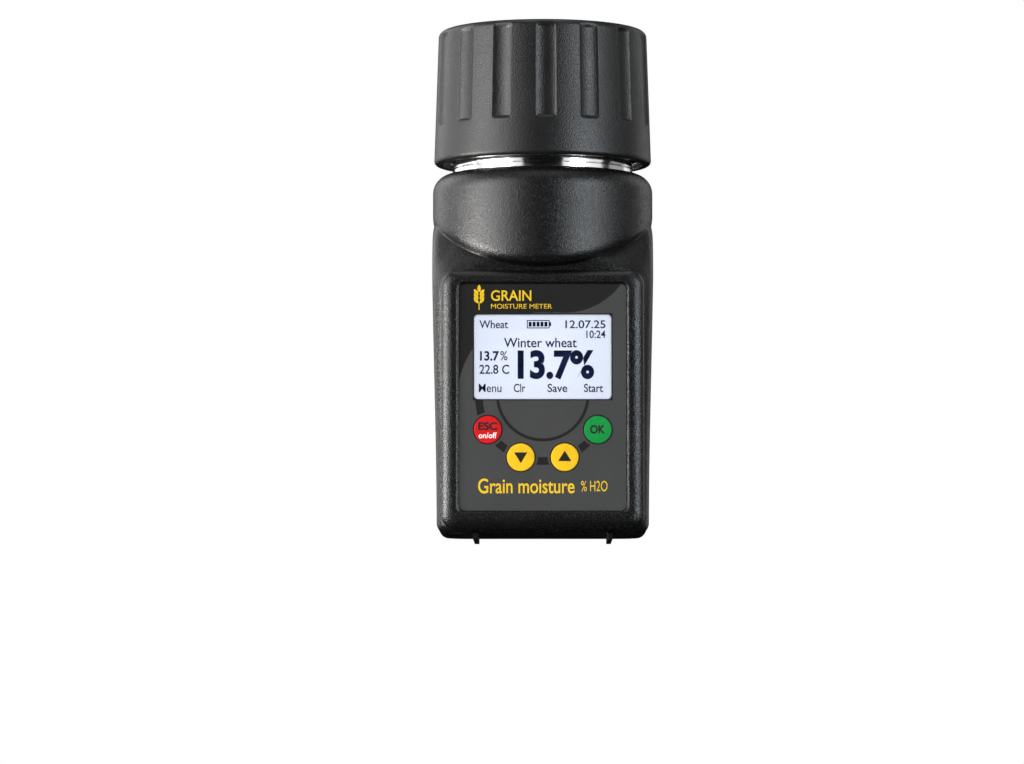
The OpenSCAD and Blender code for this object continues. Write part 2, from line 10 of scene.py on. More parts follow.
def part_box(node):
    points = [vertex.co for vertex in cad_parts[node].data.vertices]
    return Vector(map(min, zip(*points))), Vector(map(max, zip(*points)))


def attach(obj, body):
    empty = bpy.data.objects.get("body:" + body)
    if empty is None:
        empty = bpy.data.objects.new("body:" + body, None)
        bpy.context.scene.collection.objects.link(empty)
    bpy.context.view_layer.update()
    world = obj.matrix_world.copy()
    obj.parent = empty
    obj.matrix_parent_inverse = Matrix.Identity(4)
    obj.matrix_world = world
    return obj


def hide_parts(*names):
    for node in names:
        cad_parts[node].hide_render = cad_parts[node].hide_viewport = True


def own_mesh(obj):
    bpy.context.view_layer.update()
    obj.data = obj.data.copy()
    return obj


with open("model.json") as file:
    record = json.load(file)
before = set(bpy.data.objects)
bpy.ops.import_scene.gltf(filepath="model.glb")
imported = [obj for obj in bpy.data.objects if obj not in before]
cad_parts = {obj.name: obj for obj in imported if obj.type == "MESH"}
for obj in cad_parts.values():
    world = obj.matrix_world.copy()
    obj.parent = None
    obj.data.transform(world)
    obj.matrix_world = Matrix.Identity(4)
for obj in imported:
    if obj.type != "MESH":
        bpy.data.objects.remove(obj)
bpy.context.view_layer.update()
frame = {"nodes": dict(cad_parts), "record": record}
nodes = frame["nodes"]
scene = bpy.context.scene
slot_of = {s["node"]: s["material_slot"] for s in frame["record"]["subparts"]}
mm = 0.001
pi = math.pi


# ---------- Mesh helpers: lengths are in millimetres until the mesh is made ----------

def ease(t):
    t = np.clip(t, 0, 1)
    return t * t * (3 - 2 * t)


def make(name, points, faces, angle=35):
    """An object from points in millimetres, with outward normals, smooth but for edges over the angle."""
    mesh = bpy.data.meshes.new(name)
    mesh.from_pydata((np.asarray(points, float) * mm).tolist(), [], faces)
    work = bmesh.new()
    work.from_mesh(mesh)
    bmesh.ops.recalc_face_normals(work, faces=work.faces)
    work.to_mesh(mesh)
    work.free()
    mesh.polygons.foreach_set("use_smooth", [True] * len(mesh.polygons))
    mesh.set_sharp_from_angle(angle=math.radians(angle))
    obj = bpy.data.objects.new(name, mesh)
    scene.collection.objects.link(obj)
    return obj


def skin_data(loops, closed=True):
    """Points and faces of a skin over loops of equal length. If it isn't closed, its two ends are capped."""
    count, n = loops.shape[:2]
    rows = np.arange(count if closed else count - 1)[:, None]
    i = np.arange(n)[None, :]
    a, b = rows * n, (rows + 1) % count * n
    quads = np.stack([a + i, a + (i + 1) % n, b + (i + 1) % n, b + i], -1).reshape(-1, 4)
    faces = quads.tolist()
    if not closed:
        faces.append(list(range(n))[::-1])
        faces.append(list(range((count - 1) * n, count * n)))
    return loops.reshape(-1, 3), faces


def merge(parts):
    """Joins several (points, faces) into one."""
    points, faces, first = [], [], 0
    for p, f in parts:
        points.append(np.asarray(p, float))
        faces += [[first + k for k in face] for face in f]
        first += len(p)
    return np.concatenate(points), faces


def round_corners(corners, steps=5):
    """A closed path through corners (a, b, radius), each rounded to its radius."""
    out = []
    for i, corner in enumerate(corners):
        p = np.array(corner[:2], float)
        radius = corner[2] if len(corner) > 2 else 0
        a = np.array(corners[i - 1][:2], float) - p
        b = np.array(corners[(i + 1) % len(corners)][:2], float) - p
        la, lb = np.linalg.norm(a), np.linalg.norm(b)
        a, b = a / la, b / lb
        half = math.acos(max(-1, min(1, float(a @ b)))) / 2
        if radius == 0 or half > pi / 2 - 0.01:
            out.append(p)
            continue
        d = min(radius / math.tan(half), la * 0.49, lb * 0.49)
        centre = p + (a + b) / np.linalg.norm(a + b) * (d * math.tan(half) / math.sin(half))
        s, e, turn = p + a * d - centre, p + b * d - centre, pi - 2 * half
        for k in range(steps + 1):
            t = k / steps
            out.append(centre + (s * math.sin((1 - t) * turn) + e * math.sin(t * turn)) / math.sin(turn))
    return np.array(out)


def lathe(profile, n=128, shape=None):
    """Loops of a body of revolution about Z. shape may change (angle, radius, height)."""
    angle = np.arange(n)[None, :] * 2 * pi / n
    p = np.asarray(profile, float)
    r, z = np.repeat(p[:, :1], n, 1), np.repeat(p[:, 1:2], n, 1)
    if shape:
        r, z = shape(angle, r, z)
    return np.stack([r * np.cos(angle), r * np.sin(angle), z], -1)


def rect_loop(w, h, r, cx=0, cz=0, corner=10, side=6):
    """Points of a rounded rectangle, counter-clockwise, the same count for any size."""
    out = []
    for k, (sx, sz) in enumerate([(1, 1), (-1, 1), (-1, -1), (1, -1)]):
        mid = np.array([cx + sx * (w / 2 - r), cz + sz * (h / 2 - r)])
        start = k * pi / 2
        arc = [mid + r * np.array([math.cos(start + t * pi / 2), math.sin(start + t * pi / 2)])
               for t in np.linspace(0, 1, corner)]
        if out:
            out += [out[-1] + (arc[0] - out[-1]) * t for t in np.linspace(0, 1, side + 2)[1:-1]]
        out += arc
    out += [out[-1] + (out[0] - out[-1]) * t for t in np.linspace(0, 1, side + 2)[1:-1]]
    return np.array(out)


def circle_loop(cx, cz, r, n=64):
    a = np.arange(n) * 2 * pi / n
    return np.stack([cx + r * np.cos(a), cz + r * np.sin(a)], -1)


def taken(obj):
    """The evaluated mesh of a helper object as (points in millimetres, faces). The helper is removed."""
    bpy.context.view_layer.update()
    got = bpy.data.meshes.new_from_object(obj.evaluated_get(bpy.context.evaluated_depsgraph_get()))
    got.transform(obj.matrix_world)
    points = np.array([v.co for v in got.vertices], float) / mm
    faces = [list(f.vertices) for f in got.polygons]
    bpy.data.objects.remove(obj)
    bpy.data.meshes.remove(got)
    return points, faces


# Turns (x, z, forward) of a drawing seen from the front into the row frame
TO_FRONT = Matrix.Rotation(pi / 2, 4, "X")


def plate_data(loops, near, far, bevel=0.0):
    """A plate with holes, drawn as seen from the front, between two distances in front of the axis."""
    curve = bpy.data.curves.new("plate", "CURVE")
    curve.dimensions, curve.fill_mode = "2D", "BOTH"
    curve.extrude = ((far - near) / 2 - bevel) * mm
    curve.bevel_depth, curve.offset, curve.bevel_resolution = bevel * mm, -bevel * mm, 2
    for loop in loops:
        spline = curve.splines.new("POLY")
        spline.points.add(len(loop) - 1)
        for point, (a, b) in zip(spline.points, loop):
            point.co = (a * mm, b * mm, 0, 1)
        spline.use_cyclic_u = True
    obj = bpy.data.objects.new("plate", curve)
    scene.collection.objects.link(obj)
    obj.matrix_world = Matrix.Translation((0, -(near + far) / 2 * mm, 0)) @ TO_FRONT
    return taken(obj)


def words_data(text, x0, x1, z0, z1, face, thick=0.03, bold=0.0):
    """Flat letters that fill a box on the front, a distance thick proud of the face."""
    curve = bpy.data.curves.new("words", "FONT")
    curve.body, curve.size, curve.extrude, curve.offset = text, 1.0, 0.0, bold
    obj = bpy.data.objects.new("words", curve)
    scene.collection.objects.link(obj)
    points, faces = taken(obj)
    points *= mm
    low, high = points.min(0), points.max(0)
    x = x0 + (points[:, 0] - low[0]) / (high[0] - low[0]) * (x1 - x0)
    z = z0 + (points[:, 1] - low[1]) / (high[1] - low[1]) * (z1 - z0)
    return np.stack([x, np.full_like(x, -face - thick), z], -1), faces


def sheet_data(loop, face, thick=0.03):
    """A flat shape of print, a distance thick proud of the face."""
    loop = np.asarray(loop, float)
    points = np.stack([loop[:, 0], np.full(len(loop), -face - thick), loop[:, 1]], -1)
    return points, [list(range(len(loop)))]


def tube_data(path, radius, sides=16):
    """A round wire along a path, with its ends capped."""
    path = np.asarray(path, float)
    along = np.gradient(path, axis=0)
    along /= np.linalg.norm(along, axis=1)[:, None]
    side = np.cross(along[0], [0.0, 0.1, 1.0])
    loops = []
    turn = np.arange(sides) * 2 * pi / sides
    for p, t in zip(path, along):
        side = side - t * (side @ t)
        side /= np.linalg.norm(side)
        other = np.cross(t, side)
        loops.append(p + radius * (np.cos(turn)[:, None] * side + np.sin(turn)[:, None] * other))
    return skin_data(np.array(loops), closed=False)


def piece(obj, material, body, slot, *stands_for):
    """Finishes a piece: its material, its body and the CAD nodes that it stands for. Its slot is not used."""
    obj.data.materials.clear()
    obj.data.materials.append(material)
    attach(obj, body)
    if stands_for:
        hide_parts(*stands_for)
    return obj


# ---------- Materials ----------

class Shade:
    """Builds one node material on a Principled shader, in object coordinates."""

    def __init__(self, name, **values):
        self.material = bpy.data.materials.new(name)
        self.material.use_nodes = True
        self.tree = self.material.node_tree
        self.bsdf = self.tree.nodes["Principled BSDF"]
        self.place = self.add("TexCoord").outputs["Object"]
        for key, value in values.items():
            self.bsdf.inputs[key.replace("_", " ")].default_value = value

    def add(self, kind, inputs=None, **props):
        made = self.tree.nodes.new("ShaderNode" + kind)
        for key, value in props.items():
            setattr(made, key, value)
        for key, value in (inputs or {}).items():
            if isinstance(value, bpy.types.NodeSocket):
                self.tree.links.new(value, made.inputs[key])
            else:
                made.inputs[key].default_value = value
        return made

    def maths(self, operation, a, b=0.0, clamp=False):
        made = self.add("Math", {0: a, 1: b}, operation=operation, use_clamp=clamp)
        return made.outputs[0]

    def spread(self, value, low, high, to_low, to_high):
        made = self.add("MapRange", {"Value": value, "From Min": low, "From Max": high,
                                     "To Min": to_low, "To Max": to_high})
        return made.outputs[0]

    def noise(self, scale, detail=3.0, stretch=None, rough=0.5):
        where = self.place
        if stretch:
            where = self.add("VectorMath", {0: where, 1: stretch}, operation="MULTIPLY").outputs[0]
        return self.add("TexNoise", {"Vector": where, "Scale": scale, "Detail": detail,
                                     "Roughness": rough}).outputs["Fac"]

    def mix(self, factor, a, b):
        made = self.add("Mix", {0: factor, 6: a, 7: b}, data_type="RGBA")
        return made.outputs[2]

    def colour(self, socket):
        self.tree.links.new(socket, self.bsdf.inputs["Base Color"])

    def rough(self, socket):
        self.tree.links.new(socket, self.bsdf.inputs["Roughness"])

    def bump(self, *layers):
        """Each layer is (height, strength, distance in millimetres)."""
        normal = None
        for height, strength, distance in layers:
            inputs = {"Height": height, "Strength": strength, "Distance": distance * mm}
            if normal is not None:
                inputs["Normal"] = normal
            normal = self.add("Bump", inputs).outputs["Normal"]
        self.tree.links.new(normal, self.bsdf.inputs["Normal"])

    def edges(self):
        """0 on flat surfaces, 1 on worn outer edges."""
        sharp = self.add("NewGeometry").outputs["Pointiness"]
        return self.spread(sharp, 0.53, 0.62, 0.0, 1.0)


def grey(v, tint=(1, 1, 1)):
    return (v * tint[0], v * tint[1], v * tint[2], 1)


def changed(colour, by, plus=0.0):
    """A colour with its channels multiplied and raised."""
    return tuple(min(1, by * c + plus) for c in colour[:3]) + (1,)


def grained_plastic(name, colour, rough=0.45, grain=0.45, depth=0.16, strength=1.0, wear=0.5):
    """Moulded plastic with a spark-eroded grain, painted sparkle in bright flecks, faint handling marks and
    slightly polished edges.
    """
    s = Shade(name, Specular_IOR_Level=0.5)
    broad = s.noise(28, 4)
    fine = s.noise(1000 / grain, 1, rough=0.6)
    cells = s.add("TexVoronoi", {"Vector": s.place, "Scale": 720 / grain,
                                 "Randomness": 1.0}).outputs["Distance"]
    worn = s.maths("MULTIPLY", s.edges(), wear)
    shade = s.mix(s.spread(broad, 0.3, 0.7, 0.0, 1.0), changed(colour, 0.86), changed(colour, 1.14))
    # Bright flecks in the colour: painted sparkle, the grain's glints painted as lighter specks
    painted_sparkle = s.spread(fine, 0.52, 0.72, 0.0, 0.8)
    shade = s.mix(painted_sparkle, shade, changed(colour, 2.2, 0.0025))
    s.colour(s.mix(worn, shade, changed(colour, 2.0, 0.005)))
    marks = s.spread(s.noise(70, 5, rough=0.65), 0.35, 0.75, rough + 0.04, rough - 0.06)
    speckle = s.spread(fine, 0.3, 0.7, 0.05, -0.05)
    s.rough(s.maths("ADD", s.maths("SUBTRACT", marks, s.maths("MULTIPLY", worn, 0.1)), speckle, clamp=True))
    s.bump((fine, strength, depth), (cells, strength * 0.15, depth * 0.5))
    return s.material


def smooth_plastic(name, colour, rough=0.35, **values):
    """Plain moulded plastic with a faint orange peel and fine scratches."""
    s = Shade(name, **values)
    broad = s.noise(40, 3)
    s.colour(s.mix(s.spread(broad, 0.3, 0.7, 0, 1), changed(colour, 0.92), changed(colour, 1.08)))
    scratches = s.noise(900, 2, (1, 0.06, 1))
    s.rough(s.spread(scratches, 0.3, 0.75, rough - 0.05, rough + 0.08))
    s.bump((s.noise(1800, 2), 0.25, 0.01), (scratches, 0.12, 0.004))
    return s.material


def turned_metal(name, colour, rough=0.12, lines=0.15, pitch=0.12, smudge=0.1):
    """Turned and polished metal: fine rings round the axis, smudges and a few scratches."""
    s = Shade(name, Metallic=1.0)
    rings = s.noise(1000 / pitch, 1, (0.004, 0.004, 1))
    smears = s.noise(45, 4, rough=0.6)
    scratch = s.noise(1500, 1, (0.05, 0.05, 1))
    s.colour(s.mix(s.spread(smears, 0.35, 0.7, 0, 1), changed(colour, 0.93), colour))
    s.rough(s.maths("ADD", s.spread(smears, 0.35, 0.7, rough, rough + smudge),
                    s.spread(scratch, 0.5, 0.8, 0.0, 0.06)))
    s.bump((rings, lines, 0.004), (scratch, lines * 0.5, 0.003))
    return s.material


def rubber(name, colour, rough=0.7):
    """Moulded rubber with a little dust."""
    s = Shade(name, Specular_IOR_Level=0.35)
    dust = s.spread(s.noise(260, 5, rough=0.7), 0.5, 0.8, 0, 0.4)
    s.colour(s.mix(dust, colour, changed(colour, 1.6, 0.02)))
    s.rough(s.spread(s.noise(900, 3), 0.3, 0.7, rough - 0.08, rough + 0.1))
    s.bump((s.noise(3200, 2), 0.4, 0.02))
    return s.material


def board(name):
    """A printed circuit board: solder mask over copper runs, with round pads."""
    s = Shade(name, Specular_IOR_Level=0.5)
    runs = s.add("TexVoronoi", {"Vector": s.place, "Scale": 420.0}, distance="CHEBYCHEV",
                 feature="F1").outputs["Distance"]
    copper = s.maths("GREATER_THAN", s.maths("SINE", s.maths("MULTIPLY", runs, 26.0)), 0.55)
    spots = s.add("TexVoronoi", {"Vector": s.place, "Scale": 240.0}).outputs["Distance"]
    pads = s.maths("LESS_THAN", spots, 0.12)
    mask = s.mix(copper, (0.012, 0.12, 0.045, 1), (0.03, 0.24, 0.08, 1))
    s.colour(s.mix(pads, mask, (0.55, 0.5, 0.36, 1)))
    s.rough(s.spread(s.noise(500, 3), 0.3, 0.7, 0.28, 0.42))
    s.bump((copper, 0.35, 0.03), (s.noise(2500, 2), 0.2, 0.01))
    return s.material


def cell_sleeve(name):
    """A battery cell: a printed sleeve with a band, and bare steel on its ends."""
    s = Shade(name, Coat_Weight=0.4, Coat_Roughness=0.12)
    up = s.add("SeparateXYZ", {0: s.add("NewGeometry").outputs["Normal"]}).outputs["Z"]
    ends = s.maths("GREATER_THAN", s.maths("ABSOLUTE", up), 0.8)
    height = s.add("SeparateXYZ", {0: s.place}).outputs["Z"]
    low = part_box("battery_cells")[0].z
    band = s.maths("LESS_THAN", s.maths("ABSOLUTE", s.maths("SUBTRACT", height, low + 0.036)), 0.007)
    sleeve = s.mix(band, (0.012, 0.09, 0.05, 1), (0.55, 0.56, 0.54, 1))
    s.colour(s.mix(ends, sleeve, (0.62, 0.6, 0.56, 1)))
    s.tree.links.new(ends, s.bsdf.inputs["Metallic"])
    s.rough(s.spread(s.noise(700, 3), 0.3, 0.7, 0.25, 0.4))
    s.bump((s.noise(900, 3), 0.2, 0.015))
    return s.material


def film_cable(name, colour):
    """A flat film cable with its conductors showing as ridges."""
    s = Shade(name)
    ridge = s.add("TexWave", {"Vector": s.place, "Scale": 320.0, "Distortion": 0.3},
                  bands_direction="X").outputs["Fac"]
    s.colour(s.mix(ridge, changed(colour, 0.75), colour))
    s.rough(s.spread(ridge, 0, 1, 0.5, 0.35))
    s.bump((ridge, 0.5, 0.05))
    return s.material


BLACK = (0.0028, 0.0028, 0.003, 1)
mats = {
    "case_plastic": grained_plastic("case_plastic", BLACK, rough=0.29),
    "cap_plastic": grained_plastic("cap_plastic", (0.0035, 0.0035, 0.0035, 1), rough=0.38, depth=0.12),
    "inner_plastic": grained_plastic("inner_plastic", (0.03, 0.03, 0.032, 1), rough=0.5, depth=0.03,
                                     strength=0.3),
    "polished_steel": turned_metal("polished_steel", (0.9, 0.9, 0.9, 1), 0.07),
    "screw_steel": turned_metal("screw_steel", (0.66, 0.66, 0.67, 1), 0.28, smudge=0.12),
    "electrode_steel": turned_metal("electrode_steel", (0.74, 0.74, 0.74, 1), 0.24, lines=0.4, pitch=0.2),
    "brass": turned_metal("brass", (0.75, 0.55, 0.24, 1), 0.25),
    "contact_nickel": turned_metal("contact_nickel", (0.72, 0.69, 0.62, 1), 0.22),
    "bezel_steel": turned_metal("bezel_steel", (0.58, 0.58, 0.6, 1), 0.33),
    "seal_rubber": rubber("seal_rubber", (0.012, 0.012, 0.012, 1)),
    "silicone": rubber("silicone", (0.2, 0.2, 0.195, 1), 0.55),
    "cable_red": rubber("cable_red", (0.3, 0.012, 0.012, 1), 0.5),
    "white_plastic": smooth_plastic("white_plastic", (0.72, 0.71, 0.67, 1), 0.42),
    "diffuser": smooth_plastic("diffuser", (0.8, 0.8, 0.78, 1), 0.3),
    "chip_black": smooth_plastic("chip_black", (0.02, 0.02, 0.021, 1), 0.5),
    "button_red": smooth_plastic("button_red", (0.55, 0.012, 0.01, 1), 0.25, Coat_Weight=0.3),
    "board_green": board("board_green"),
    "cell_wrap": cell_sleeve("cell_wrap"),
    "cable_grey": film_cable("cable_grey", (0.45, 0.45, 0.43, 1)),
}


# ---------- Where the CAD has things, in millimetres ----------

def low(node):
    return np.array(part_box(node)[0]) / mm


def high(node):
    return np.array(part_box(node)[1]) / mm


barrel_r = high("housing")[0]
foot = low("housing")[2]
shoulder = high("housing")[2]
back = 35.6
flat_front = -low("frame_gasket")[1] - 0.39
label_low, label_high = low("keypad_label"), high("keypad_label")
label_face = -label_low[1]
label_w, label_h = label_high[0] - label_low[0], label_high[2] - label_low[2]
label_z = (label_high[2] + label_low[2]) / 2
window_low, window_high = low("display_window"), high("display_window")
window_z = (window_high[2] + window_low[2]) / 2
window_w, window_h = window_high[0] - window_low[0], window_high[2] - window_low[2]
frame_low, frame_high = low("front_frame"), high("front_frame")
frame_z = (frame_high[2] + frame_low[2]) / 2
keys = {}
for key in ("key_escape", "key_down", "key_up", "key_ok"):
    keys[key] = ((low(key)[0] + high(key)[0]) / 2, (low(key)[2] + high(key)[2]) / 2)
key_face = -low("key_ok")[1]


# ---------- The label's and the display's materials ----------

def label_film():
    """The overlay film: grey with a near-black sweep and two rings round the keys in print, painted shade in
    thin dark rings where the keys meet their holes, and a velvet grain.
    """
    s = Shade("label_film", Specular_IOR_Level=0.22)
    flat = s.add("VectorMath", {0: s.place, 1: (1000, 0, 1000)}, operation="MULTIPLY").outputs[0]
    parts = s.add("SeparateXYZ", {0: flat})
    x, z = parts.outputs["X"], parts.outputs["Z"]

    def far(cx, cz):
        return s.add("VectorMath", {0: flat, 1: (cx, 0, cz)}, operation="DISTANCE").outputs["Value"]

    def combined(operation, tests):
        out = tests[0]
        for t in tests[1:]:
            out = s.maths(operation, out, t)
        return out

    def all_of(*tests):
        return combined("MULTIPLY", tests)

    def any_of(*tests):
        return combined("MAXIMUM", tests)

    def off(a, b):
        return s.maths("SUBTRACT", a, b)

    def size(a):
        return s.maths("ABSOLUTE", a)

    def over(a, b):
        return s.maths("GREATER_THAN", a, b)

    def under(a, b):
        return s.maths("LESS_THAN", a, b)

    key_z = keys["key_ok"][1]
    ring_z = key_z + 10.8
    left = all_of(over(far(0, ring_z), 28.5), over(z, ring_z), under(x, 3.6))
    right = all_of(under(far(7.5, ring_z + 51.5), 23.1), over(x, 3.6))
    below = under(z, window_low[2])
    gaps = all_of(*[over(far(*k), 5.75) for k in keys.values()])
    one_side = off(1.0, all_of(over(x, 10.0), over(z, key_z)))
    thick = all_of(under(size(off(far(0, ring_z), 21.3)), 1.3), below, gaps, one_side)
    thin = all_of(under(size(off(far(0, ring_z + 0.9), 15.15)), 0.5), below)
    # Dark rings round the keys: painted shade in the gaps between the keys and their holes
    key_gap_shade = any_of(*[under(far(*k), 5.0) for k in keys.values()])
    border = under(any_of(off(size(x), window_w / 2), off(size(off(z, window_z)), window_h / 2)), 0.5)
    # The print and the painted shade round the keys, in one mask
    print_and_gap_shade = any_of(left, right, thick, thin, key_gap_shade, border)
    velvet = s.noise(3800, 2)
    base = s.mix(s.spread(s.noise(50, 3), 0.3, 0.7, 0, 1), grey(0.034), grey(0.038))
    s.colour(s.mix(print_and_gap_shade, base, grey(0.007, (1, 1, 0.9))))
    s.rough(s.spread(s.noise(120, 4), 0.3, 0.7, 0.5, 0.6))
    s.bump((velvet, 0.3, 0.012))
    return s.material


def ink(name, colour, rough=0.5):
    """Printing ink, with the film's grain and a slightly uneven coat."""
    s = Shade(name, Specular_IOR_Level=0.2)
    s.colour(s.mix(s.spread(s.noise(600, 3), 0.3, 0.75, 0, 1), colour, changed(colour, 0.86)))
    s.rough(s.spread(s.noise(200, 3), 0.3, 0.7, rough - 0.05, rough + 0.08))
    s.bump((s.noise(3800, 2), 0.3, 0.01))
    return s.material


def lit_face():
    """The display's lit face: pale blue-white, a faint dot grid, and a little dimmer towards its edges."""
    s = Shade("display_face", Base_Color=(0.3, 0.32, 0.36, 1), Roughness=0.25)
    flat = s.add("VectorMath", {0: s.place, 1: (1000, 0, 1000)}, operation="MULTIPLY").outputs[0]
    parts = s.add("SeparateXYZ", {0: flat})
    dots = []
    for axis in ("X", "Z"):
        cell = s.maths("FRACT", s.maths("MULTIPLY", parts.outputs[axis], 2.9))
        dots.append(s.maths("LESS_THAN", cell, 0.12))
    grid = s.maths("MAXIMUM", dots[0], dots[1])
    centre = s.add("VectorMath", {0: flat, 1: (0, 0, window_z)}, operation="DISTANCE").outputs["Value"]
    glow = s.spread(centre, 4, 28, 0.86, 0.78)
    strength = s.maths("MULTIPLY", glow, s.spread(grid, 0, 1, 1.0, 0.96))
    s.tree.links.new(strength, s.bsdf.inputs["Emission Strength"])
    tone = s.mix(s.spread(centre, 0, 28, 0, 1), (0.86, 0.9, 1.0, 1), (0.82, 0.87, 1.0, 1))
    s.tree.links.new(tone, s.bsdf.inputs["Emission Color"])
    return s.material


def clear_window():
    """The clear plastic over the display."""
    s = Shade("window_plastic", Transmission_Weight=1.0, IOR=1.49, Base_Color=(0.97, 0.985, 1, 1))
    s.rough(s.spread(s.noise(60, 4), 0.4, 0.75, 0.015, 0.05))
    s.bump((s.noise(35, 2), 0.02, 0.05))
    return s.material


mats["label_film"] = label_film()
mats["display_face"] = lit_face()
mats["window_plastic"] = clear_window()
mats["key_red"] = ink("key_red", (0.44, 0.001, 0.003, 1))
mats["key_yellow"] = ink("key_yellow", (0.62, 0.37, 0.005, 1))
mats["key_green"] = ink("key_green", (0.001, 0.19, 0.033, 1))
ink_black = ink("ink_black", (0.012, 0.012, 0.01, 1))
ink_white = ink("ink_white", (0.85, 0.85, 0.83, 1))
ink_yellow = ink("ink_yellow", (0.58, 0.37, 0.008, 1))
ink_navy = ink("ink_navy", (0.003, 0.02, 0.1, 1), 0.35)

# Carried-over CAD nodes take the material of their slot, and all but these a small bevel on sharp edges
PLAIN = {"cap_thread_ring", "cap_thread", "chamber_collar", "collar_thread", "pressure_spring", "housing",
         "floor_seal"}
for name, node in nodes.items():
    node.data.materials.clear()
    node.data.materials.append(mats[slot_of[name]])
    if name not in PLAIN:
        weld = node.modifiers.new("weld", "WELD")
        weld.merge_threshold = 1e-6
        bevel = node.modifiers.new("bevel", "BEVEL")
        bevel.width, bevel.segments, bevel.angle_limit = 0.08 * mm, 2, math.radians(40)
        bevel.use_clamp_overlap = True


# ---------- Housing ----------

N_ROUND = 480
around = np.arange(N_ROUND) * 2 * pi / N_ROUND - pi / 2
ux, uy = np.cos(around), np.sin(around)
# Angle away from the front, 0 in front and pi at the back
aside = np.abs(np.arctan2(ux, -uy))


def reach(half_w, front, rear, corner):
    """How far the outline of a rounded rectangle is from the axis, in each direction."""
    near, far = np.zeros(N_ROUND), np.full(N_ROUND, 70.0)
    mid, half_d = (rear - front) / 2, (rear + front) / 2
    for _ in range(40):
        t = (near + far) / 2
        qx = np.abs(t * ux) - (half_w - corner)
        qy = np.abs(t * uy - mid) - (half_d - corner)
        d = np.hypot(np.maximum(qx, 0), np.maximum(qy, 0)) + np.minimum(np.maximum(qx, qy), 0) - corner
        near, far = np.where(d < 0, t, near), np.where(d < 0, far, t)
    return (near + far) / 2


case_top = 112
foot_half_w = 35.7
case_corner = 9


def lower(z, inset=0.0):
    """The lower case's outline at height z, which widens slightly upwards."""
    half_w = foot_half_w + (barrel_r - foot_half_w) * ease((z - foot) / (case_top - foot))
    return reach(half_w - inset, flat_front - inset, back - inset, case_corner - 0.6 * inset)


def level(r, z):
    """A loop round the axis with reach r at height z. Either may differ round it, or be one number."""
    r = np.broadcast_to(r, ux.shape)
    z = np.broadcast_to(z, r.shape)
    return np.stack([r * ux, r * uy, z], -1)


